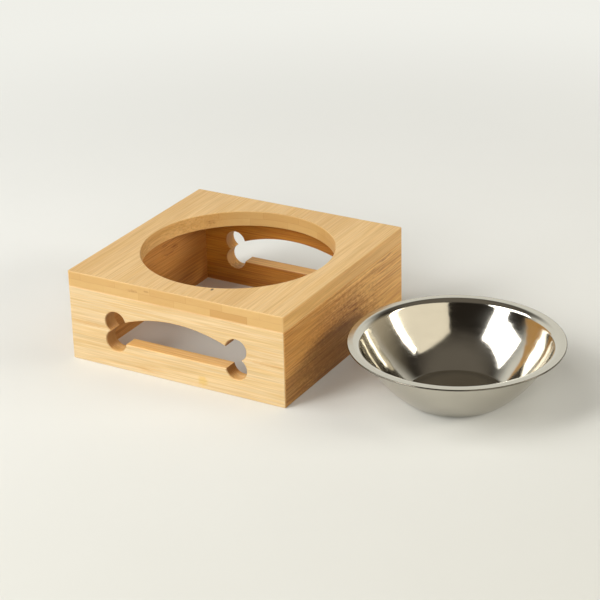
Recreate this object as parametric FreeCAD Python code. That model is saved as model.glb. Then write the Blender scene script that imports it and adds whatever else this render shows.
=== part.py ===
"""Pet bowl stand: a square bamboo frame with bone-shaped cut-outs, and its pressed steel bowl.

The stand is an open box without a floor. Four mitred walls carry a top board with a round hole,
and the bowl stands on the table beside it, as when it has been lifted out to be washed.
X runs along the front wall to the right, Y from front to back, Z up from the table.
The origin is the middle of the set's footprint.
"""
import FreeCAD, Part
import math
import os
from FreeCAD import Vector

# Stand, in millimetres: its side is the bowl's hole and the least border of wood beside it
hole_diameter = 144.0
hole_border = 18.0
stand_height = 70.0
top_thickness = 12.0
wall_thickness = 12.0
corner_ease = 1.2
edge_ease = 0.6
joint_bevel = 0.4

# Bone cut-out in the front and back walls, with angles in degrees
bone_reach = 50.7
bone_lobe_radius = 8.4
bone_lobe_overlap = 2.3
bone_arch_rise = 8.0
bone_neck_angle = 10.0
bone_sill_angle = 8.5
bone_bevel = 0.6

# Dowels between the walls and the top board
dowel_diameter = 6.0
dowel_wall_depth = 10.0
dowel_cover = 3.5
dowel_corner_distance = 22.0
dowel_chamfer = 0.5

# Splines across the mitred corners
spline_thickness = 3.0
spline_width = 8.0
spline_stop = 8.0
spline_inner_distance = 6.0

# Glue room beside dowels and splines, and at their ends
glue_side_gap = 0.1
glue_end_gap = 0.5

# Bowl: its clearance in the stand's hole and its overlap on the top board are measured along the radius
bowl_hole_clearance = 3.1
bowl_rim_overlap = 4.6
bowl_height = 41.8
bowl_sheet = 0.6
bowl_base_radius = 36.2
bowl_base_bend = 3.5
bowl_wall_bow = 3.5
bowl_neck_bend = 5.0
bowl_hem_width = 2.4

# Where the bowl stands: its gap to the right wall, and how far its middle is in front of the stand's
bowl_gap = 19.3
bowl_forward = 15.8

# How far cutting shapes run past the wood, and how near two readings count as the same
overrun = 1.0
same_reading = 0.001

# Sizes and places that follow from the ones above
stand_side = hole_diameter + 2 * hole_border
half_side = stand_side / 2
half_inside = half_side - wall_thickness
wall_height = stand_height - top_thickness
hole_radius = hole_diameter / 2
rim_radius = hole_radius + bowl_rim_overlap
neck_radius = hole_radius - bowl_hole_clearance
set_length = stand_side + bowl_gap + 2 * rim_radius
set_front = min(-half_side, -bowl_forward - rim_radius)
set_back = max(half_side, rim_radius - bowl_forward)
set_middle = (set_front + set_back) / 2
stand_place = Vector(half_side - set_length / 2, -set_middle, 0)
bowl_place = Vector(set_length / 2 - rim_radius, -bowl_forward - set_middle, 0)

# The stand's sides and corners, in the order that quarter turns bring them round from the front
sides = ("front", "right", "back", "left")
corners = ("front_right", "back_right", "back_left", "front_left")
bone_sides = ("front", "back")
centre = Vector(0, 0, 0)
up = Vector(0, 0, 1)
full_turn = 360
quarter_turn = full_turn / len(sides)
mitre_angle = quarter_turn / 2
diagonal_share = math.cos(math.radians(mitre_angle))


def line(start, end):
    return Part.makeLine(start, end)


def arc(start, middle, end):
    return Part.Arc(start, middle, end).toShape()


def arc_round(middle, start, end):
    """Arc of less than half a turn from start to end, round its centre."""
    way = (start - middle).normalize() + (end - middle).normalize()
    return arc(start, middle + way.normalize() * start.distanceToPoint(middle), end)


def turned(shape, quarters):
    """Turns a shape round the stand's upright middle line by quarter turns."""
    shape.rotate(centre, up, quarters * quarter_turn)
    return shape


def level_edges(shape, height, chosen):
    """Edges that lie level at a height, as far as the test picks them."""
    return [
        edge
        for edge in shape.Edges
        if all(abs(corner.Z - height) < same_reading for corner in edge.Vertexes) and chosen(edge)
    ]


def any_edge(edge):
    return True


def on_wall_front(edge):
    return edge.CenterOfMass.y < corner_ease - half_side


def on_hole_rim(edge):
    return abs(edge.BoundBox.XMax - hole_radius) < same_reading


def wall_plan():
    """Plan of the front wall: mitred ends, each with its half of the eased corner."""
    corner = half_side - corner_ease
    tip = corner + corner_ease * diagonal_share
    half_bend = math.radians(mitre_angle / 2)
    bend_x = corner + corner_ease * math.sin(half_bend)
    bend_y = corner + corner_ease * math.cos(half_bend)
    front_left = Vector(-corner, -half_side, 0)
    front_right = Vector(corner, -half_side, 0)
    tip_left = Vector(-tip, -tip, 0)
    tip_right = Vector(tip, -tip, 0)
    inner_left = Vector(-half_inside, -half_inside, 0)
    inner_right = Vector(half_inside, -half_inside, 0)
    return Part.Wire([
        line(front_left, front_right),
        arc(front_right, Vector(bend_x, -bend_y, 0), tip_right),
        line(tip_right, inner_right),
        line(inner_right, inner_left),
        line(inner_left, tip_left),
        arc(tip_left, Vector(-bend_x, -bend_y, 0), front_left),
    ])


def top_plan():
    """Plan of the top board: a square with eased corners."""
    corner = half_side - corner_ease
    bend = corner + corner_ease * diagonal_share
    edges = []
    for quarters in range(len(sides)):
        front = line(Vector(-corner, -half_side, 0), Vector(corner, -half_side, 0))
        bend_right = arc(Vector(corner, -half_side, 0), Vector(bend, -bend, 0), Vector(half_side, -corner, 0))
        edges += [turned(front, quarters), turned(bend_right, quarters)]
    return Part.Wire(edges)


def bone_outline(y, grow):
    """Bone figure in an upright plane at y, with its whole edge moved outwards by grow.

    Each end has two round lobes. An arch joins the upper lobes, and a straight sill the lower ones.
    """
    lobe_spread = bone_lobe_radius - bone_lobe_overlap / 2
    middle = wall_height / 2
    upper = Vector(bone_reach, 0, middle + lobe_spread)
    lower = Vector(bone_reach, 0, middle - lobe_spread)
    lobe = bone_lobe_radius + grow

    # The arch springs from the upper lobes at the neck angle
    neck_turn = math.radians(bone_neck_angle)
    spring_x = upper.x - bone_lobe_radius * math.cos(neck_turn)
    spring_z = upper.z + bone_lobe_radius * math.sin(neck_turn)
    arch_radius = (spring_x ** 2 + bone_arch_rise ** 2) / (2 * bone_arch_rise)
    arch_centre = Vector(0, 0, spring_z + bone_arch_rise - arch_radius)
    arch = arch_radius + grow

    # Grown arch and grown lobe cross at the neck
    apart = upper - arch_centre
    along = (apart.Length ** 2 + arch ** 2 - lobe ** 2) / (2 * apart.Length)
    aside = math.sqrt(arch ** 2 - along ** 2)
    way = Vector(apart).normalize()
    neck = arch_centre + way * along + Vector(-way.z, 0, way.x) * aside

    cusp = Vector(bone_reach + math.sqrt(lobe ** 2 - lobe_spread ** 2), 0, middle)
    sill_drop = bone_lobe_radius * math.sin(math.radians(bone_sill_angle)) + grow
    sill = Vector(bone_reach - math.sqrt(lobe ** 2 - sill_drop ** 2), 0, lower.z - sill_drop)
    upper_bend = upper + Vector(diagonal_share, 0, diagonal_share) * lobe
    lower_bend = lower + Vector(diagonal_share, 0, -diagonal_share) * lobe

    def right(point):
        return Vector(point.x, y, point.z)

    def left(point):
        return Vector(-point.x, y, point.z)

    crown = Vector(0, y, arch_centre.z + arch)
    return Part.Wire([
        arc(left(neck), crown, right(neck)),
        arc(right(neck), right(upper_bend), right(cusp)),
        arc(right(cusp), right(lower_bend), right(sill)),
        line(right(sill), left(sill)),
        arc(left(sill), left(lower_bend), left(cusp)),
        arc(left(cusp), left(upper_bend), left(neck)),
    ])


def bone_cutter():
    """Solid that cuts the bone through the front wall and bevels its edge on both faces."""
    flare = bone_bevel + overrun
    sections = [
        bone_outline(-half_side - overrun, flare),
        bone_outline(-half_side + bone_bevel, 0),
        bone_outline(-half_inside - bone_bevel, 0),
        bone_outline(-half_inside + overrun, flare),
    ]
    return Part.makeLoft(sections, True, True)


def dowel_spots():
    """Plan points of the front wall's two dowels, in the middle of its thickness."""
    across = half_side - dowel_corner_distance
    deep = wall_thickness / 2 - half_side
    return {"left": Vector(-across, deep, 0), "right": Vector(across, deep, 0)}


def dowel_bar(spot, side_gap, end_gap):
    """Upright round bar across the joint line: a dowel, or with its gaps the hole that holds it."""
    bottom = wall_height - dowel_wall_depth - end_gap
    top = stand_height - dowel_cover + end_gap
    return Part.makeCylinder(dowel_diameter / 2 + side_gap, top - bottom, spot + up * bottom)


def dowel(spot):
    bar = dowel_bar(spot, 0, 0)
    box = bar.BoundBox
    ends = level_edges(bar, box.ZMin, any_edge) + level_edges(bar, box.ZMax, any_edge)
    return bar.makeChamfer(dowel_chamfer, ends)


def spline(side_gap, end_gap):
    """Upright tongue across the front right mitre: a spline, or with its gaps the slot for it."""
    thick = spline_thickness + 2 * side_gap
    wide = spline_width + 2 * end_gap
    bottom = spline_stop - end_gap
    tongue = Part.makeBox(thick, wide, wall_height - 2 * bottom, Vector(-thick / 2, -wide / 2, bottom))
    tongue.rotate(centre, up, -mitre_angle)
    place = half_inside + spline_inner_distance * diagonal_share
    tongue.translate(Vector(place, -place, 0))
    return tongue


def wall(has_bone):
    """Wall in the front place: eased above the table, bevelled at the joint, cut for its joinery."""
    board = Part.Face(wall_plan()).extrude(up * wall_height)
    board = board.makeFillet(edge_ease, level_edges(board, 0, on_wall_front))
    board = board.makeChamfer(joint_bevel, level_edges(board, wall_height, on_wall_front))
    cutters = [dowel_bar(spot, glue_side_gap, glue_end_gap) for spot in dowel_spots().values()]
    for quarters in (0, -1):
        cutters.append(turned(spline(glue_side_gap, glue_end_gap), quarters))
    if has_bone:
        cutters.append(bone_cutter())
    return board.cut(cutters)


def top_board():
    """Square board with the bowl's hole through it and blind dowel holes from below."""
    board = Part.Face(top_plan()).extrude(up * top_thickness)
    board.translate(up * wall_height)
    board = board.makeFillet(edge_ease, level_edges(board, stand_height, any_edge))
    board = board.makeChamfer(joint_bevel, level_edges(board, wall_height, any_edge))
    hole_bottom = up * (wall_height - overrun)
    board = board.cut(Part.makeCylinder(hole_radius, top_thickness + 2 * overrun, hole_bottom))
    board = board.makeFillet(edge_ease, level_edges(board, stand_height, on_hole_rim))
    board = board.makeChamfer(joint_bevel, level_edges(board, wall_height, on_hole_rim))
    holes = [
        turned(dowel_bar(spot, glue_side_gap, glue_end_gap), quarters)
        for quarters in range(len(sides))
        for spot in dowel_spots().values()
    ]
    return board.cut(holes)


def bowl_section():
    """Half section of the bowl's sheet: flat base, bowed wall, level flange, and an edge hemmed under."""
    underside = bowl_height - bowl_sheet
    hem_under = underside - bowl_sheet
    hem_in = rim_radius - bowl_hem_width
    fold = rim_radius - bowl_sheet

    # The wall's outside is an arc bowed out from its chord, which runs from the base to the neck
    chord = Vector(neck_radius - bowl_base_radius, 0, underside)
    wall_radius = (chord.Length ** 2 / 4 + bowl_wall_bow ** 2) / (2 * bowl_wall_bow)
    inward = Vector(-chord.z, 0, chord.x).normalize()
    wall_middle = Vector(bowl_base_radius, 0, 0) + chord / 2 + inward * (wall_radius - bowl_wall_bow)

    def bend_middle(height, wall_distance):
        """Centre of a bend that touches the wall's arc, by its height and distance from that arc's centre."""
        return wall_middle + Vector(math.sqrt(wall_distance ** 2 - (height - wall_middle.z) ** 2), 0,
                                    height - wall_middle.z)

    base_bend = bend_middle(bowl_base_bend, wall_radius - bowl_base_bend)
    neck_bend = bend_middle(underside - bowl_neck_bend, wall_radius + bowl_neck_bend)
    to_base = (base_bend - wall_middle).normalize()
    to_neck = (neck_bend - wall_middle).normalize()

    def side(depth):
        """Base, bend, wall, bend and start of the flange, on the outside or one sheet deeper."""
        base_end = base_bend - up * (bowl_base_bend - depth)
        wall_low = wall_middle + to_base * (wall_radius - depth)
        wall_high = wall_middle + to_neck * (wall_radius - depth)
        flange_start = neck_bend + up * (bowl_neck_bend + depth)
        edges = [
            line(up * depth, base_end),
            arc_round(base_bend, base_end, wall_low),
            arc_round(wall_middle, wall_low, wall_high),
            arc_round(neck_bend, wall_high, flange_start),
        ]
        return edges, flange_start

    outside, under_start = side(0)
    inside, top_start = side(bowl_sheet)
    hem_root = Vector(hem_in, 0, underside)
    hem_end = Vector(hem_in, 0, hem_under)
    fold_under = Vector(fold, 0, hem_under)
    fold_side = Vector(rim_radius, 0, underside)
    fold_top = Vector(fold, 0, bowl_height)
    hem = [
        line(under_start, hem_root),
        line(hem_root, hem_end),
        line(hem_end, fold_under),
        arc(fold_under, fold_side, fold_top),
        line(fold_top, top_start),
    ]
    floor_middle = line(up * bowl_sheet, centre)
    return Part.Wire(outside + hem + inside[::-1] + [floor_middle])


def bowl():
    """Pressed steel bowl, turned from its section."""
    return Part.Face(bowl_section()).revolve(centre, up, full_turn)


# Stand pieces are made at the front or front right, turned to their sides and put in place
stand = {"top_board": top_board()}
for quarters, side in enumerate(sides):
    stand[side + "_wall"] = turned(wall(side in bone_sides), quarters)
    for hand, spot in dowel_spots().items():
        stand[side + "_wall_" + hand + "_dowel"] = turned(dowel(spot), quarters)
for quarters, corner in enumerate(corners):
    stand[corner + "_spline"] = turned(spline(0, 0), quarters)
for piece in stand.values():
    piece.translate(stand_place)
loose_bowl = bowl()
loose_bowl.translate(bowl_place)

os.makedirs("parts", exist_ok=True)
for name, piece in {**stand, "bowl": loose_bowl}.items():
    piece.exportStep("parts/" + name + ".step")
    print(name, "valid" if piece.isValid() else "broken", len(piece.Solids), round(piece.Volume))
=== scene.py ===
"""Looks of the pet bowl stand: laminated bamboo boards, their hidden joinery and the pressed steel bowl.

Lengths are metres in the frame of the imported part: X runs along the front wall to the right, Y from front
to back and Z up from the floor. Sizes of the wood's and the steel's patterns are millimetres.
"""
import math

import bpy
from mathutils import Matrix, Vector


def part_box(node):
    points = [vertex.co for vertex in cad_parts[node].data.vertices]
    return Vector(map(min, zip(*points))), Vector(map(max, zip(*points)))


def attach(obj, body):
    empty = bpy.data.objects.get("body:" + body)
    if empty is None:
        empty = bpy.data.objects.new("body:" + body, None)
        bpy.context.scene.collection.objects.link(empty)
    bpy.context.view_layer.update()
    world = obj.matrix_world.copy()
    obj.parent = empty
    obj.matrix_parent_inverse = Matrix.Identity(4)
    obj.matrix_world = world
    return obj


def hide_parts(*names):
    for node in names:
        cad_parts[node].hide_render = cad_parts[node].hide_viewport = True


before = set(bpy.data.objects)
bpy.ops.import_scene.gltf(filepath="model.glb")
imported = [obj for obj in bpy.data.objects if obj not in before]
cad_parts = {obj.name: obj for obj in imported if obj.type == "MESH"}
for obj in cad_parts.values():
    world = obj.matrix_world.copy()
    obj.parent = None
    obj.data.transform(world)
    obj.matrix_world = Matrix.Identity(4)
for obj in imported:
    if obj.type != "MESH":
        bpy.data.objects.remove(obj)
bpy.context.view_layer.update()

# Stand and bowl as the frame has them
stand_low, stand_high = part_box("top_board")
stand_middle = Vector(((stand_low.x + stand_high.x) / 2, (stand_low.y + stand_high.y) / 2, 0))
bowl_low, bowl_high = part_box("bowl")
bowl_middle = Vector(((bowl_low.x + bowl_high.x) / 2, (bowl_low.y + bowl_high.y) / 2, bowl_low.z))
rim_radius = (bowl_high.x - bowl_low.x) / 2
bowl_height = bowl_high.z - bowl_low.z

# Bowl's pressed section
bowl_sheet = 0.0006
bowl_base_radius = 0.0362
bowl_base_bend = 0.0035
bowl_wall_bow = 0.0035
bowl_neck_radius = 0.0689
bowl_neck_bend = 0.005
bowl_hem_width = 0.0024
bowl_segments = 288
bend_steps = 14
wall_steps = 40
ring_shares = (0.03, 0.15, 0.5, 0.85, 0.97)
sharp_angle = 50

# Finish of the bowl's outside, fold, flange and inside: satin 0, polished 1, brushed 2, and 3 the fold's
# steel painted dark as a painted dark reflection line
bowl_finish_order = (0, 3, 2, 1)

# Camera: its place from the middle of the stand's footprint, and where it looks, in degrees
camera_from_stand = Vector((0.7209, -1.1585, 0.6491))
camera_azimuth = 30.01
camera_elevation = 24.53
camera_roll = -1.43
camera_lens = 120.4

# Colours of the wood, linear: pale strips, tan streaks and brown fibre bundles. The boards' sets differ
# as painted light and shade: the front wall's is less saturated as painted light, and the right wall's and
# the back and left walls' are a deeper orange as painted shade
top_bamboo = ((0.775, 0.535, 0.257), (0.69, 0.435, 0.167), (0.50, 0.26, 0.08))
front_bamboo_painted_light = ((0.70, 0.532, 0.305), (0.65, 0.452, 0.21), (0.55, 0.33, 0.124))
right_bamboo_painted_shade = ((0.83, 0.508, 0.176), (0.70, 0.382, 0.106), (0.465, 0.20, 0.044))
inner_bamboo_painted_shade = ((0.765, 0.49, 0.198), (0.68, 0.396, 0.13), (0.495, 0.232, 0.058))
beech = ((0.66, 0.45, 0.27), (0.55, 0.35, 0.19), (0.38, 0.21, 0.10))

# Shades of end grain, strips' sides and inner faces, and stains of marks: the wood's colour is
# multiplied by them. The walls' end shades are partly the end grain's own brown and partly painted shade
# in the lobes of the cut-outs. The side shades are partly the strips' own sides and partly painted light
# on the front wall's sill and painted shade on the top board's right edge. The inner shades are painted
# shade inside the stand.
top_shades = ((0.81, 0.76, 0.63), (0.93, 0.81, 0.61), (0.85, 0.70, 0.50))
front_shades = ((0.56, 0.37, 0.19), (1.16, 0.97, 0.70), (0.74, 0.54, 0.31))
wall_shades = ((0.52, 0.35, 0.19), (0.97, 0.87, 0.70), (0.74, 0.54, 0.31))
back_shades = ((0.64, 0.51, 0.35), (0.97, 0.92, 0.80), (0.55, 0.35, 0.10))
beech_end_shade = (0.85, 0.78, 0.68)
end_strip_shade = (0.88, 0.80, 0.70)
node_stain = (0.42, 0.26, 0.16)
orange_stain = (0.88, 0.66, 0.38)
# Painted shade on the right wall: darker towards its near end, and the bowl's shadow low in its middle
right_near_painted_shade = (0.745, 0.645, 0.50)
bowl_painted_shadow = (0.60, 0.52, 0.46)
amber_stain = (0.97, 0.88, 0.52)
speck_stain = (0.10, 0.10, 0.15)

# Steel colours, linear: the satin outside's is darker than the inside's as painted shade
steel = (0.64, 0.61, 0.535)
satin_steel_painted_shade = (0.56, 0.53, 0.465)
# The fold's steel is painted dark, as a painted dark reflection line along the rim
fold_painted_dark = (0.22, 0.20, 0.165)

# Patterns per millimetre: in wood along the fibres, across the strips and through the layers, and in steel
# along X, Y and Z
broad_grain = (0.006, 0.10, 0.16)
streak_grain = (0.016, 0.62, 0.62)
fibre_grain = (0.024, 1.05, 1.05)
bundle_grain = (0.018, 0.85, 0.85)
end_line_grain = (0.2, 0.09, 0.9)
mark_edge_grain = (0.35, 0.7, 0.7)
mark_dash_grain = (0.055, 0.95, 0.95)
smudge_pattern = (0.05, 0.05, 0.09)
press_wave_pattern = (0.07, 0.07, 0.12)

# Depths of the finest relief, metres
bamboo_relief = 0.0002
beech_relief = 0.0001
ring_relief = 0.00002

millimetres = 1000.0


def feed(tree, socket, value):
    """Links an output to a socket, or sets the socket to a plain value."""
    if isinstance(value, bpy.types.NodeSocket):
        tree.links.new(value, socket)
    else:
        socket.default_value = value


def node(tree, kind, inputs=None, **settings):
    """New node of a kind, with its settings and what goes into its sockets."""
    made = tree.nodes.new("ShaderNode" + kind)
    for name, value in settings.items():
        setattr(made, name, value)
    for socket, value in (inputs or {}).items():
        feed(tree, made.inputs[socket], value)
    return made


def calc(tree, operation, *terms):
    """Result of one operation on numbers."""
    made = node(tree, "Math", operation=operation)
    for socket, term in zip(made.inputs, terms):
        feed(tree, socket, term)
    return made.outputs[0]


def vector_calc(tree, operation, *terms):
    """Result of one operation on vectors: a vector, or a number for dot products and lengths."""
    made = node(tree, "VectorMath", operation=operation)
    for socket, term in zip(made.inputs, terms):
        feed(tree, socket, term)
    return made.outputs["Value" if operation in ("DOT_PRODUCT", "LENGTH") else "Vector"]


def ease(tree, value, low, high):
    """0 up to the low value, 1 from the high value on, and a smooth step between them."""
    inputs = {"Value": value, "From Min": low, "From Max": high}
    return node(tree, "MapRange", inputs, interpolation_type="SMOOTHSTEP").outputs["Result"]


def spread(tree, value, low, high):
    """A value from 0 to 1, spread evenly from the low value to the high one."""
    inputs = {"Value": value, "To Min": low, "To Max": high}
    return node(tree, "MapRange", inputs).outputs["Result"]


def mixed(tree, share, first, second, blend="MIX"):
    """Two colours mixed by a share from 0 to 1."""
    made = node(tree, "Mix", data_type="RGBA", blend_type=blend)
    feed(tree, made.inputs[0], share)
    for socket, colour in ((made.inputs[6], first), (made.inputs[7], second)):
        feed(tree, socket, colour if isinstance(colour, bpy.types.NodeSocket) else (*colour, 1))
    return made.outputs[2]


def shaded(tree, share, colour, shade):
    """A colour multiplied by a shade, as far as a share from 0 to 1."""
    return mixed(tree, share, colour, mixed(tree, 1.0, colour, shade, "MULTIPLY"))


def grey(tree, value):
    """A number as a grey colour."""
    return node(tree, "CombineColor", {0: value, 1: value, 2: value}).outputs[0]


def stretched(tree, vector, scales):
    """A vector with each of its parts scaled."""
    return vector_calc(tree, "MULTIPLY", vector, scales)


def noise(tree, vector, scale=1.0, detail=2.0, roughness=0.5):
    """Smooth noise from 0 to 1."""
    inputs = {"Vector": vector, "Scale": scale, "Detail": detail, "Roughness": roughness}
    return node(tree, "TexNoise", inputs).outputs[0]


def new_group(name, inputs, outputs):
    """Empty node group with named sockets, and the ends of its tree."""
    tree = bpy.data.node_groups.new(name, "ShaderNodeTree")
    for label, kind in inputs.items():
        tree.interface.new_socket(label, in_out="INPUT", socket_type="NodeSocket" + kind)
    for label, kind in outputs.items():
        tree.interface.new_socket(label, in_out="OUTPUT", socket_type="NodeSocket" + kind)
    return tree, tree.nodes.new("NodeGroupInput").outputs, tree.nodes.new("NodeGroupOutput").inputs


def from_edge(tree, place, size):
    """Distance to the nearest edge of a strip or layer, from the place counted in strips or layers."""
    within = calc(tree, "FRACT", place)
    nearest = calc(tree, "MINIMUM", within, calc(tree, "SUBTRACT", 1.0, within))
    return calc(tree, "MULTIPLY", nearest, size)


def laminated_bamboo_group():
    """Bamboo strips glued side by side in layers, as a solid.

    Vector is in millimetres along the fibres, across the strips and through the layers.
    """
    inputs = {
        "Vector": "Vector", "Pale": "Color", "Tan": "Color", "Fibre": "Color",
        "End Grain": "Float", "End Shade": "Color", "Strip Width": "Float", "Strip Start": "Float",
        "Layer Thickness": "Float", "Layer Shift": "Float", "Dark Strip": "Float",
        "Contrast": "Float", "Seed": "Float",
    }
    tree, given, result = new_group(
        "laminated_bamboo", inputs, {"Color": "Color", "Roughness": "Float", "Height": "Float"})
    parts = node(tree, "SeparateXYZ", {"Vector": given["Vector"]}).outputs

    # Strips and layers are counted, and each strip has its own number
    layer_place = calc(tree, "DIVIDE", parts["Z"], given["Layer Thickness"])
    layer = calc(tree, "FLOOR", layer_place)
    shifted = calc(tree, "SUBTRACT", calc(tree, "SUBTRACT", parts["Y"], given["Strip Start"]),
                   calc(tree, "MULTIPLY", layer, given["Layer Shift"]))
    strip_place = calc(tree, "DIVIDE", shifted, given["Strip Width"])
    strip = calc(tree, "FLOOR", strip_place)
    strips_in_layer = 64.0
    dark_strip_length = 8.0
    number = calc(tree, "MULTIPLY_ADD", layer, strips_in_layer, strip)
    seeded = calc(tree, "ADD", number, given["Seed"])
    draw = node(tree, "TexWhiteNoise", {"W": seeded}, noise_dimensions="1D")
    dark = calc(tree, "COMPARE", number, given["Dark Strip"], 0.5)
    dark = calc(tree, "MULTIPLY", dark, calc(tree, "LESS_THAN", parts["X"], dark_strip_length))
    tone = calc(tree, "MAXIMUM", calc(tree, "POWER", draw.outputs["Value"], 1.5), dark)

    # Fibres start anew in each strip
    start_spread = (900.0, 70.0, 70.0)
    start = stretched(tree, draw.outputs["Color"], start_spread)
    place = vector_calc(tree, "ADD", given["Vector"], start)
    broad = noise(tree, stretched(tree, place, broad_grain), detail=1)
    streaks = noise(tree, stretched(tree, place, streak_grain), detail=2, roughness=0.6)
    fibres = noise(tree, stretched(tree, place, fibre_grain), detail=2, roughness=0.7)
    bundles = noise(tree, stretched(tree, place, bundle_grain), detail=1)

    # Colour goes from pale to tan by strip and streak, and browns in the thin fibre bundles
    strip_tan = calc(tree, "MULTIPLY", tone, 0.20)
    tan_share = calc(tree, "MULTIPLY_ADD", ease(tree, broad, 0.40, 0.75), 0.5, strip_tan)
    tan_share = calc(tree, "MULTIPLY_ADD", ease(tree, streaks, 0.45, 0.62), given["Contrast"], tan_share)
    colour = mixed(tree, calc(tree, "MINIMUM", tan_share, 1.0), given["Pale"], given["Tan"])
    half_contrast = calc(tree, "MULTIPLY", given["Contrast"], 0.5)
    brown_share = calc(tree, "MULTIPLY", ease(tree, bundles, 0.50, 0.64), half_contrast)
    colour = mixed(tree, brown_share, colour, given["Fibre"])
    fibre_tone = calc(tree, "SUBTRACT", ease(tree, fibres, 0.30, 0.70), 0.5)
    shade = calc(tree, "MULTIPLY_ADD", fibre_tone, calc(tree, "MULTIPLY", given["Contrast"], 0.26), 1.0)
    colour = mixed(tree, 1.0, colour, grey(tree, shade), "MULTIPLY")

    # Seams between strips and between layers, each as plain or as faint as its own draw
    strip_edge = from_edge(tree, strip_place, given["Strip Width"])
    layer_edge = from_edge(tree, layer_place, given["Layer Thickness"])
    edge = calc(tree, "MINIMUM", strip_edge, layer_edge)
    seam = calc(tree, "SUBTRACT", 1.0, ease(tree, edge, 0.05, 0.45))
    seam = calc(tree, "MULTIPLY", seam, spread(tree, draw.outputs["Value"], 0.04, 0.30))
    colour = mixed(tree, seam, colour, given["Fibre"])

    # End grain has no streaks: it is smooth and browner, with strips that differ and faint lines across
    lines = noise(tree, stretched(tree, given["Vector"], end_line_grain), detail=2)
    plain = mixed(tree, calc(tree, "MULTIPLY_ADD", tone, 0.2, 0.35), given["Pale"], given["Tan"])
    plain = mixed(tree, seam, plain, given["Fibre"])
    end_colour = mixed(tree, 1.0, plain, given["End Shade"], "MULTIPLY")
    end_tone = calc(tree, "MAXIMUM", calc(tree, "MULTIPLY", tone, 0.45), dark)
    end_colour = shaded(tree, end_tone, end_colour, end_strip_shade)
    line_share = calc(tree, "MULTIPLY", ease(tree, lines, 0.42, 0.70), 0.18)
    end_colour = mixed(tree, line_share, end_colour, given["Fibre"])
    feed(tree, result["Color"], mixed(tree, given["End Grain"], colour, end_colour))

    feed(tree, result["Roughness"], spread(tree, fibres, 0.58, 0.40))
    feed(tree, result["Height"], calc(tree, "SUBTRACT", fibres, seam))
    return tree


def wood_mark_group():
    """Mask of a mark in the wood: a blot at a place, or a blot broken into dashes along the fibres."""
    inputs = {"Vector": "Vector", "Place": "Vector", "Reach": "Vector", "Dashes": "Float"}
    tree, given, result = new_group("wood_mark", inputs, {"Mask": "Float"})
    offset = vector_calc(tree, "SUBTRACT", given["Vector"], given["Place"])
    away = vector_calc(tree, "DIVIDE", offset, given["Reach"])
    ragged = noise(tree, stretched(tree, given["Vector"], mark_edge_grain), detail=1)
    distance = calc(tree, "ADD", vector_calc(tree, "LENGTH", away), spread(tree, ragged, -0.4, 0.4))
    blot = calc(tree, "SUBTRACT", 1.0, ease(tree, distance, 0.35, 1.0))
    lines = noise(tree, stretched(tree, given["Vector"], mark_dash_grain), detail=1)
    dashes = calc(tree, "MULTIPLY", blot, ease(tree, lines, 0.52, 0.64))
    share = calc(tree, "MULTIPLY", given["Dashes"], calc(tree, "SUBTRACT", dashes, blot))
    feed(tree, result["Mask"], calc(tree, "ADD", blot, share))
    return tree


def edge_highlight_group():
    """Mask of a board's outer edges, for a painted highlight: near two of its faces at once, with a width
    that wavers.
    """
    inputs = {"Vector": "Vector", "Low": "Vector", "High": "Vector", "Width": "Float"}
    tree, given, result = new_group("painted_edge_highlight", inputs, {"Mask": "Float"})
    below = vector_calc(tree, "SUBTRACT", given["Vector"], given["Low"])
    above = vector_calc(tree, "SUBTRACT", given["High"], given["Vector"])
    near = node(tree, "SeparateXYZ", {"Vector": vector_calc(tree, "MINIMUM", below, above)}).outputs
    nearest = calc(tree, "MINIMUM", near["X"], near["Y"])
    farther = calc(tree, "MAXIMUM", near["X"], near["Y"])
    second = calc(tree, "MAXIMUM", nearest, calc(tree, "MINIMUM", farther, near["Z"]))
    waver = spread(tree, noise(tree, given["Vector"], scale=90.0), 0.4, 1.6)
    share = calc(tree, "DIVIDE", second, calc(tree, "MULTIPLY", given["Width"], waver))
    feed(tree, result["Mask"], calc(tree, "SUBTRACT", 1.0, ease(tree, share, 0.2, 1.0)))
    return tree


def polish_group():
    """Marks of making and handling on the bowl: rings round its axis, smudges and the press's waves.

    Vector is in millimetres from the middle of the bowl's base.
    """
    inputs = {"Vector": "Vector", "Rings": "Float"}
    outputs = {"Ring": "Float", "Smudge": "Float", "Wave": "Float"}
    tree, given, result = new_group("turned_polish", inputs, outputs)
    parts = node(tree, "SeparateXYZ", {"Vector": given["Vector"]}).outputs
    flat = node(tree, "CombineXYZ", {"X": parts["X"], "Y": parts["Y"]}).outputs["Vector"]
    radius = vector_calc(tree, "LENGTH", flat)
    round_way = node(tree, "SeparateXYZ", {"Vector": vector_calc(tree, "NORMALIZE", flat)}).outputs
    ring_place = node(tree, "CombineXYZ", {
        "X": calc(tree, "MULTIPLY", radius, given["Rings"]),
        "Y": calc(tree, "MULTIPLY", parts["Z"], given["Rings"]),
        "Z": round_way["X"],
    }).outputs["Vector"]
    ring_inputs = {"Vector": ring_place, "W": round_way["Y"], "Scale": 1.0, "Detail": 2.0}
    rings = node(tree, "TexNoise", ring_inputs, noise_dimensions="4D")
    feed(tree, result["Ring"], rings.outputs[0])
    feed(tree, result["Smudge"], noise(tree, stretched(tree, given["Vector"], smudge_pattern), detail=3))
    feed(tree, result["Wave"], noise(tree, stretched(tree, given["Vector"], press_wave_pattern), detail=1))
    return tree


bamboo_group = laminated_bamboo_group()
mark_group = wood_mark_group()
edge_group = edge_highlight_group()
bowl_polish = polish_group()


def new_material(name):
    """New material with its node tree and its Principled shader."""
    material = bpy.data.materials.new(name)
    material.use_nodes = True
    tree = material.node_tree
    return material, tree, tree.nodes["Principled BSDF"]


def placed_group(tree, group, inputs):
    """A node group put into a material with its own values."""
    made = node(tree, "Group", node_tree=group)
    for socket, value in inputs.items():
        feed(tree, made.inputs[socket], value)
    return made.outputs


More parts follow.
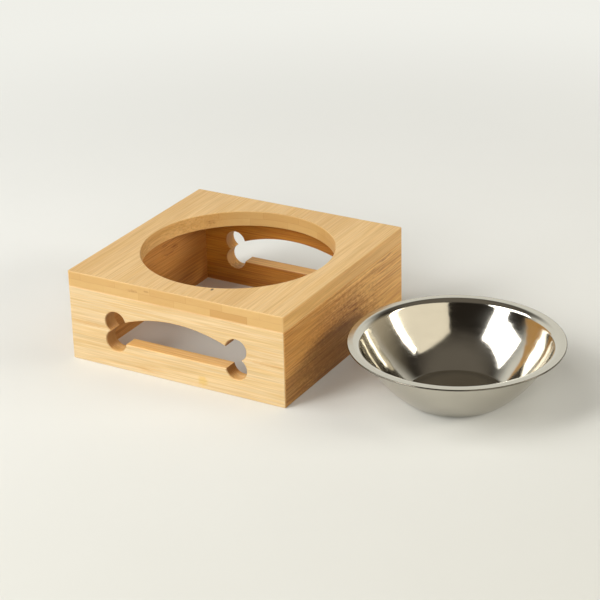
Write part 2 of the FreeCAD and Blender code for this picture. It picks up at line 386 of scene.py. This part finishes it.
def millimetres_from(tree, corner):
    """Coordinates in millimetres from a corner or middle of a piece."""
    where = node(tree, "TexCoord").outputs["Object"]
    moved = vector_calc(tree, "SUBTRACT", where, corner)
    made = node(tree, "VectorMath", {0: moved, "Scale": millimetres}, operation="SCALE")
    return made.outputs["Vector"]


def reordered(tree, vector, axes):
    """A vector's parts in another order, such as YXZ."""
    parts = node(tree, "SeparateXYZ", {"Vector": vector}).outputs
    ordered = {"X": parts[axes[0]], "Y": parts[axes[1]], "Z": parts[axes[2]]}
    return node(tree, "CombineXYZ", ordered).outputs["Vector"]


def faces_across(tree, axis):
    """Mask of faces that lie across an axis, such as the end grain across the fibres."""
    normal = node(tree, "NewGeometry").outputs["True Normal"]
    along = node(tree, "SeparateXYZ", {"Vector": normal}).outputs[axis]
    return ease(tree, calc(tree, "ABSOLUTE", along), 0.35, 0.9)


def bamboo_material(board, axes, colours, contrast, shades, inner_face, strips, marks, seed):
    """Bamboo of one board. Axes are the fibres', the strips' and the layers' directions.

    The inner face is given by its place through the layers. Strips are their width, start, layer shift
    and dark strip. Each mark has a stain, place, reach, dash share and strength.
    """
    material, tree, shader = new_material(board + "_bamboo")
    low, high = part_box(board)
    position = millimetres_from(tree, low)
    vector = reordered(tree, position, axes)
    width, start, shift, dark_strip = strips
    end_shade, side_shade, inner_painted_shade = shades
    pale, tan, fibre = colours
    # End grain browns by its end shade, which on the walls is partly painted shade in the cut-outs' lobes
    wood = placed_group(tree, bamboo_group, {
        "Vector": vector, "Pale": (*pale, 1), "Tan": (*tan, 1), "Fibre": (*fibre, 1),
        "End Grain": faces_across(tree, axes[0]), "End Shade": (*end_shade, 1),
        "Strip Width": width, "Strip Start": start, "Layer Thickness": layer_thickness,
        "Layer Shift": shift, "Dark Strip": dark_strip, "Contrast": contrast, "Seed": seed,
    })
    # Strips' sides by their side shade: partly their own colour, partly painted light on the front wall's
    # sill and painted shade on the top board's right edge
    colour = shaded(tree, faces_across(tree, axes[1]), wood["Color"], side_shade)
    depth = node(tree, "SeparateXYZ", {"Vector": vector}).outputs["Z"]
    # Inner faces darkened as painted shade inside the stand
    from_inner = calc(tree, "ABSOLUTE", calc(tree, "SUBTRACT", depth, inner_face))
    inside = calc(tree, "SUBTRACT", 1.0, ease(tree, from_inner, 0.1, 0.8))
    colour = shaded(tree, inside, colour, inner_painted_shade)
    for stain, place, reach, dashes, strength in marks:
        mark = placed_group(tree, mark_group, {
            "Vector": vector, "Place": place, "Reach": reach, "Dashes": dashes,
        })
        colour = shaded(tree, calc(tree, "MULTIPLY", mark["Mask"], strength), colour, stain)
    # Painted highlight: the boards' outer edges are mixed towards the pale colour
    edges = placed_group(tree, edge_group, {
        "Vector": node(tree, "TexCoord").outputs["Object"],
        "Low": low, "High": high, "Width": highlight_width,
    })
    colour = mixed(tree, calc(tree, "MULTIPLY", edges["Mask"], highlight_share), colour, pale)
    feed(tree, shader.inputs["Base Color"], colour)
    feed(tree, shader.inputs["Roughness"], wood["Roughness"])
    bump = node(tree, "Bump", {"Strength": 0.35, "Distance": bamboo_relief, "Height": wood["Height"]})
    feed(tree, shader.inputs["Normal"], bump.outputs["Normal"])
    return material


def joinery_material(name, axes, corner):
    """Beech of the dowels and splines inside the joints."""
    material, tree, shader = new_material(name)
    vector = reordered(tree, millimetres_from(tree, corner), axes)
    pale, tan, fibre = beech
    wood = placed_group(tree, bamboo_group, {
        "Vector": vector, "Pale": (*pale, 1), "Tan": (*tan, 1), "Fibre": (*fibre, 1),
        "End Grain": faces_across(tree, axes[0]), "End Shade": (*beech_end_shade, 1),
        "Strip Width": whole_beech, "Strip Start": -whole_beech / 2,
        "Layer Thickness": whole_beech, "Layer Shift": 0.0, "Dark Strip": no_strip,
        "Contrast": 0.4, "Seed": 3.0,
    })
    feed(tree, shader.inputs["Base Color"], wood["Color"])
    feed(tree, shader.inputs["Roughness"], wood["Roughness"])
    bump = node(tree, "Bump", {"Strength": 0.3, "Distance": beech_relief, "Height": wood["Height"]})
    feed(tree, shader.inputs["Normal"], bump.outputs["Normal"])
    return material


def steel_material(name, colour, rings, roughness_low, roughness_high, bump_strength, wave_height):
    """Stainless steel of the bowl, more or less polished. Rings are per millimetre."""
    material, tree, shader = new_material(name)
    vector = millimetres_from(tree, bowl_middle)
    polish = placed_group(tree, bowl_polish, {"Vector": vector, "Rings": rings})
    shade = grey(tree, spread(tree, polish["Smudge"], 0.94, 1.05))
    feed(tree, shader.inputs["Base Color"], mixed(tree, 1.0, colour, shade, "MULTIPLY"))
    shader.inputs["Metallic"].default_value = 1.0
    worn = calc(tree, "MULTIPLY_ADD", polish["Ring"], 0.5, calc(tree, "MULTIPLY", polish["Smudge"], 0.5))
    roughness = spread(tree, ease(tree, worn, 0.3, 0.7), roughness_low, roughness_high)
    feed(tree, shader.inputs["Roughness"], roughness)
    waves = node(tree, "Bump", {"Strength": 1.0, "Distance": wave_height, "Height": polish["Wave"]})
    bump = node(tree, "Bump", {
        "Strength": bump_strength, "Distance": ring_relief, "Height": polish["Ring"],
        "Normal": waves.outputs["Normal"],
    })
    feed(tree, shader.inputs["Normal"], bump.outputs["Normal"])
    return material


# Boards: layers are half a board thick, and each board's fibres have their own start
layer_thickness = 6.0
# Width of the painted highlight along the boards' outer edges, and how far it goes to the pale colour
highlight_width = 0.0012
highlight_share = 0.35
no_strip = -1000.0

# Dowels and splines are whole beech: one strip and one layer take up each piece
whole_beech = 400.0

# Marks of each board, in millimetres along the fibres, across the strips and through the layers
top_marks = [
    (speck_stain, (18.0, 112.0, 12.0), (2.4, 1.3, 2.0), 0.0, 0.9),
    (node_stain, (0.0, 56.0, 6.6), (3.0, 6.0, 1.6), 0.6, 0.5),
    (node_stain, (0.0, 68.0, 8.6), (3.0, 3.0, 1.0), 0.3, 0.5),
    (node_stain, (139.0, 35.0, 5.0), (6.0, 6.0, 3.0), 0.6, 0.5),
]
front_marks = [
    (amber_stain, (112.0, 6.0, 0.0), (5.5, 5.0, 3.0), 0.0, 0.8),
    (orange_stain, (14.0, 31.0, 0.0), (24.0, 2.2, 4.0), 0.4, 0.7),
    (orange_stain, (166.0, 31.0, 0.0), (20.0, 2.2, 4.0), 0.4, 0.7),
    (orange_stain, (67.0, 5.0, 0.0), (17.0, 4.0, 4.0), 0.8, 0.6),
]
# The right wall's first two marks are painted shade: darker towards its near end, and the bowl's shadow low
# in its middle
right_marks = [
    (right_near_painted_shade, (5.0, 30.0, 12.0), (150.0, 80.0, 9.0), 0.0, 1.0),
    (bowl_painted_shadow, (80.0, 14.0, 12.0), (75.0, 40.0, 9.0), 0.0, 0.9),
    (node_stain, (96.0, 37.0, 12.0), (24.0, 12.0, 5.0), 1.0, 0.9),
    (node_stain, (149.0, 51.0, 12.0), (28.0, 9.0, 5.0), 1.0, 0.8),
]
left_marks = [
    (node_stain, (116.0, 46.0, 12.0), (16.0, 9.0, 5.0), 1.0, 0.8),
    (node_stain, (86.0, 40.0, 12.0), (16.0, 7.0, 5.0), 1.0, 0.6),
]
top_strips = (30.0, 1.0, 10.0, 4.0)
wall_strips = (30.0, -1.0, 12.0, no_strip)

# Each board's axes, colours, contrast, shades, inner face, strips, marks and seed
board_finishes = {
    "top_board": ("YXZ", top_bamboo, 0.6, top_shades, 0.0, top_strips, top_marks, 11.0),
    "front_wall": ("XZY", front_bamboo_painted_light, 0.8, front_shades, 12.0, wall_strips, front_marks, 23.0),
    "right_wall": ("YZX", right_bamboo_painted_shade, 1.5, wall_shades, 0.0, wall_strips, right_marks, 37.0),
    "back_wall": ("XZY", inner_bamboo_painted_shade, 1.3, back_shades, 0.0, wall_strips, [], 41.0),
    "left_wall": ("YZX", inner_bamboo_painted_shade, 1.0, wall_shades, 12.0, wall_strips, left_marks, 59.0),
}


def dress(piece, *materials):
    """Gives a piece its materials."""
    piece.data.materials.clear()
    for material in materials:
        piece.data.materials.append(material)


def dress_stand():
    """Gives the boards their bamboo, and the dowels and splines their beech."""
    for board, finish in board_finishes.items():
        dress(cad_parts[board], bamboo_material(board, *finish))
    joinery_beech = joinery_material("joinery_beech", "ZXY", stand_low)
    for name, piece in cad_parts.items():
        if name.endswith(("_dowel", "_spline")):
            dress(piece, joinery_beech)


def run_points(start, end):
    """Points of a straight run of the section, close together at its ends."""
    return [start.lerp(end, share) for share in (0.0, *ring_shares)]


def bend_points(middle, start, end, steps):
    """Points of a bend from start to end round its middle, without the end point."""
    first = start - middle
    turn = first.angle_signed(end - middle)
    return [middle + Matrix.Rotation(-turn * step / steps, 2) @ first for step in range(steps)]


def bowl_section():
    """Points of the bowl's half section from its base's middle, outside first.

    With them come the numbers of the points at which its finishes start.
    """
    underside = bowl_height - bowl_sheet
    chord = Vector((bowl_neck_radius - bowl_base_radius, underside))
    wall_radius = (chord.length ** 2 / 4 + bowl_wall_bow ** 2) / (2 * bowl_wall_bow)
    inward = Vector((-chord.y, chord.x)).normalized()
    wall_middle = Vector((bowl_base_radius, 0)) + chord / 2 + inward * (wall_radius - bowl_wall_bow)

    def bend_middle(height, wall_distance):
        rise = height - wall_middle.y
        return wall_middle + Vector((math.sqrt(wall_distance ** 2 - rise ** 2), rise))

    base_bend = bend_middle(bowl_base_bend, wall_radius - bowl_base_bend)
    neck_bend = bend_middle(underside - bowl_neck_bend, wall_radius + bowl_neck_bend)
    to_base = (base_bend - wall_middle).normalized()
    to_neck = (neck_bend - wall_middle).normalized()

    def side(depth):
        """Points from the base's middle to the flange on one face of the sheet."""
        base_end = base_bend - Vector((0, bowl_base_bend - depth))
        wall_low = wall_middle + to_base * (wall_radius - depth)
        wall_high = wall_middle + to_neck * (wall_radius - depth)
        flange = neck_bend + Vector((0, bowl_neck_bend + depth))
        points = run_points(Vector((0, depth)), base_end)
        points += bend_points(base_bend, base_end, wall_low, bend_steps)
        points += bend_points(wall_middle, wall_low, wall_high, wall_steps)
        points += bend_points(neck_bend, wall_high, flange, bend_steps)
        return points, flange

    outside, under_flange = side(0)
    inside, on_flange = side(bowl_sheet)
    hem_root = Vector((rim_radius - bowl_hem_width, underside))
    hem_end = hem_root - Vector((0, bowl_sheet))
    fold = Vector((rim_radius - bowl_sheet, underside))
    fold_under = fold - Vector((0, bowl_sheet))
    fold_side = fold + Vector((bowl_sheet, 0))
    fold_top = fold + Vector((0, bowl_sheet))
    hem = run_points(under_flange, hem_root) + [hem_root] + run_points(hem_end, fold_under)
    folded = bend_points(fold, fold_under, fold_side, bend_steps)
    folded += bend_points(fold, fold_side, fold_top, bend_steps)
    top = run_points(fold_top, on_flange)
    fold_start = len(outside) + len(hem)
    flange_start = fold_start + len(folded)
    finish_starts = (fold_start, flange_start, flange_start + len(top))
    return outside + hem + folded + top + [on_flange] + inside[::-1], finish_starts


def pressed_bowl():
    """Bowl turned from its section, with the finishes of its outside, fold, flange and inside."""
    section, finish_starts = bowl_section()
    rings = len(section) - 2
    points = [bowl_middle + Vector((0, 0, section[0].y)), bowl_middle + Vector((0, 0, section[-1].y))]
    for place in section[1:-1]:
        for step in range(bowl_segments):
            turn = 2 * math.pi * step / bowl_segments
            across = Vector((place.x * math.cos(turn), place.x * math.sin(turn), place.y))
            points.append(bowl_middle + across)
    first = 2
    faces = []
    finishes = []
    for step in range(bowl_segments):
        after = (step + 1) % bowl_segments
        faces.append((0, first + after, first + step))
        finishes.append(0)
        last = first + (rings - 1) * bowl_segments
        faces.append((1, last + step, last + after))
        finishes.append(1)
    for ring in range(rings - 1):
        low = first + ring * bowl_segments
        for step in range(bowl_segments):
            after = (step + 1) % bowl_segments
            high = low + bowl_segments
            faces.append((low + step, low + after, high + after, high + step))
            finishes.append(bowl_finish_order[sum(ring + 1 >= start for start in finish_starts)])
    mesh = bpy.data.meshes.new("pressed_bowl")
    mesh.from_pydata(points, [], faces)
    mesh.shade_smooth()
    mesh.set_sharp_from_angle(angle=math.radians(sharp_angle))
    piece = bpy.data.objects.new("pressed_bowl", mesh)
    bpy.context.scene.collection.objects.link(piece)
    dress(piece,
          steel_material("satin_steel_outside", satin_steel_painted_shade, rings=2.2, roughness_low=0.17,
                         roughness_high=0.24, bump_strength=0.05, wave_height=0.0001),
          steel_material("polished_steel_inside", steel, rings=1.4, roughness_low=0.07,
                         roughness_high=0.13, bump_strength=0.012, wave_height=0.0001),
          steel_material("brushed_steel_flange", steel, rings=2.0, roughness_low=0.14,
                         roughness_high=0.22, bump_strength=0.02, wave_height=0.00003),
          # The fold's steel is painted dark, as a painted dark reflection line along the rim
          steel_material("fold_steel_painted_dark", fold_painted_dark, rings=2.0, roughness_low=0.14,
                         roughness_high=0.22, bump_strength=0.02, wave_height=0.00003))
    mesh.polygons.foreach_set("material_index", finishes)
    mesh.update()
    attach(piece, "bowl")
    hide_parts("bowl")
    return piece


# Studio: compass angles in degrees from the back (0) by the right (90) to the front (180), and degrees up
# from the floor
painted_shade_floor = (0.648, 0.642, 0.592)
painted_light_floor = (0.845, 0.85, 0.825)
floor_far = (0.87, 0.866, 0.81)
painted_light_side = 312.0
floor_half = 2.6
floor_below = 0.0001

# Floor's painted light falloff across the set, darker towards the front right and paler towards the back
# left, and its fade into the room round it, metres
painted_falloff_span = (-0.55, 0.45)
floor_fade = (0.35, 0.9)

# Room round the set, its compass angles, and the lamps' colours
black = (0.0, 0.0, 0.0)
room_pale = (0.87, 0.866, 0.81)
room_ceiling = (0.16, 0.142, 0.118)
room_front = (0.022, 0.018, 0.014)
room_fill = (0.15, 0.138, 0.117)
room_beige = (0.54, 0.47, 0.35)
room_back = 322.0
room_side = 30.0
white_lamp = (1.0, 1.0, 0.985)
warm_lamp = (1.0, 0.97, 0.90)
cream_lamp = (1.0, 0.92, 0.76)


def towards(azimuth, elevation):
    """Direction of a compass angle and an angle up from the floor."""
    across = math.cos(math.radians(elevation))
    turn = math.radians(azimuth)
    upward = math.sin(math.radians(elevation))
    return Vector((math.sin(turn) * across, math.cos(turn) * across, upward))


def pale_floor():
    """Pale floor that the set stands on, with painted light: darker towards the front right, paler towards
    the back left.
    """
    mesh = bpy.data.meshes.new("pale_floor")
    turns = ((-1, -1), (1, -1), (1, 1), (-1, 1))
    corners = [(floor_half * x, floor_half * y, -floor_below) for x, y in turns]
    mesh.from_pydata(corners, [], [(0, 1, 2, 3)])
    floor = bpy.data.objects.new("pale_floor", mesh)
    bpy.context.scene.collection.objects.link(floor)
    material, tree, shader = new_material("pale_floor_paper")
    where = node(tree, "TexCoord").outputs["Object"]
    mottle = spread(tree, noise(tree, where, scale=9.0, detail=3), -0.05, 0.05)
    # Painted light: the floor is darker towards the front right and paler towards the back left
    along = vector_calc(tree, "DOT_PRODUCT", where, towards(painted_light_side, 0))
    painted_falloff_share = ease(tree, along, *painted_falloff_span)
    paper = mixed(tree, calc(tree, "ADD", painted_falloff_share, mottle), painted_shade_floor, painted_light_floor)
    rays = node(tree, "LightPath").outputs
    seen = calc(tree, "MAXIMUM", rays["Is Camera Ray"], rays["Is Transmission Ray"])
    seen = calc(tree, "MAXIMUM", seen, rays["Is Glossy Ray"])
    fade = ease(tree, vector_calc(tree, "LENGTH", where), *floor_fade)
    far = calc(tree, "MULTIPLY", fade, seen)
    feed(tree, shader.inputs["Base Color"], mixed(tree, far, paper, black))
    feed(tree, shader.inputs["Emission Color"], mixed(tree, far, black, floor_far))
    shader.inputs["Emission Strength"].default_value = 1.0
    shader.inputs["Specular IOR Level"].default_value = 0.0
    shader.inputs["Roughness"].default_value = 0.7
    dress(floor, material)


def soft_panel(name, azimuth, elevation, distance, width, height, colour, level,
               lights=True, reflects=True, upright=False):
    """Flat soft lamp round the set. Its level is how bright it looks, with white paper at about 1.

    It may light the set, show in the steel or do both. It faces the set, or stands upright.
    """
    lamp = bpy.data.lights.new(name, "AREA")
    lamp.shape = "RECTANGLE"
    lamp.size = width
    lamp.size_y = height
    lamp.color = colour
    lamp.energy = level * math.pi * width * height
    panel = bpy.data.objects.new(name, lamp)
    away = towards(azimuth, elevation)
    facing = towards(azimuth, 0 if upright else elevation)
    turned = facing.to_track_quat("Z", "Y").to_matrix().to_4x4()
    panel.matrix_world = Matrix.Translation(away * distance) @ turned
    panel.visible_camera = False
    panel.visible_diffuse = lights
    panel.visible_glossy = reflects
    bpy.context.scene.collection.objects.link(panel)


def studio_world():
    """Room that shows in the bowl: pale behind the set, beige low beside it, dark overhead and in front.

    Seen straight it is pale all round. Its fill softens the shadows, and doesn't show in the bowl.
    """
    world = bpy.data.worlds.new("studio_room")
    bpy.context.scene.world = world
    world.use_nodes = True
    tree = world.node_tree
    way = node(tree, "TexCoord").outputs["Generated"]
    height = node(tree, "SeparateXYZ", {"Vector": way}).outputs["Z"]
    backward = vector_calc(tree, "DOT_PRODUCT", way, towards(room_back, 0))
    behind = ease(tree, backward, 0.12, 0.60)
    below_ceiling = calc(tree, "SUBTRACT", 1.0, ease(tree, height, 0.5, 0.8))
    dark = mixed(tree, ease(tree, height, 0.65, 0.93), room_front, room_ceiling)
    sideways = vector_calc(tree, "DOT_PRODUCT", way, towards(room_side, 0))
    beside = ease(tree, sideways, 0.35, 0.85)
    low = calc(tree, "SUBTRACT", 1.0, ease(tree, height, 0.0, 0.75))
    dark = mixed(tree, calc(tree, "MULTIPLY", beside, low), dark, room_beige)
    room = mixed(tree, calc(tree, "MULTIPLY", behind, below_ceiling), dark, room_pale)
    rays = node(tree, "LightPath").outputs
    reflected = mixed(tree, rays["Is Glossy Ray"], room_fill, room)
    seen = calc(tree, "MAXIMUM", rays["Is Camera Ray"], rays["Is Transmission Ray"])
    feed(tree, tree.nodes["Background"].inputs["Color"], mixed(tree, seen, reflected, room_pale))


def light_studio():
    """Places the panels that light the set, and those that only show in the bowl, and makes the room."""
    soft_panel("key_panel", azimuth=229.5, elevation=38.5, distance=2.7, width=2.24, height=1.08,
               colour=white_lamp, level=3.9)
    soft_panel("key_end_panel", azimuth=210, elevation=33.5, distance=2.7, width=0.81, height=1.5,
               colour=white_lamp, level=6.8)
    soft_panel("key_high_panel", azimuth=232, elevation=62, distance=2.4, width=1.2, height=1.0,
               colour=white_lamp, level=2.4, reflects=False)
    soft_panel("front_panel", azimuth=162, elevation=24, distance=2.4, width=1.6, height=0.7,
               colour=white_lamp, level=7.0, reflects=False)
    soft_panel("right_low_panel", azimuth=72, elevation=24, distance=2.0, width=0.9, height=0.5,
               colour=warm_lamp, level=11.7, reflects=False)
    soft_panel("right_high_panel", azimuth=60, elevation=58, distance=2.0, width=0.9, height=0.9,
               colour=warm_lamp, level=1.5, reflects=False)
    soft_panel("cream_panel", azimuth=108, elevation=37, distance=2.12, width=2.24, height=1.9,
               colour=cream_lamp, level=1.1, lights=False, upright=True)
    soft_panel("white_strip", azimuth=72.7, elevation=31, distance=1.28, width=0.17, height=0.73,
               colour=warm_lamp, level=6.2, lights=False, upright=True)
    studio_world()


def add_camera():
    """Camera at the photograph's place, direction and roll."""
    camera = bpy.data.cameras.new("camera")
    camera.lens = camera_lens
    seat = bpy.data.objects.new("camera", camera)
    bpy.context.scene.collection.objects.link(seat)
    forward = towards(-camera_azimuth, -camera_elevation)
    right = forward.cross(Vector((0, 0, 1))).normalized()
    upward = right.cross(forward)
    roll = math.radians(camera_roll)
    rolled_right = right * math.cos(roll) + upward * math.sin(roll)
    rolled_up = rolled_right.cross(forward)
    axes = Matrix((rolled_right, rolled_up, -forward)).transposed().to_4x4()
    seat.matrix_world = Matrix.Translation(stand_middle + camera_from_stand) @ axes
    bpy.context.scene.camera = seat


dress_stand()
pressed_bowl()
pale_floor()
light_studio()
add_camera()
bpy.context.scene.view_settings.view_transform = "Standard"
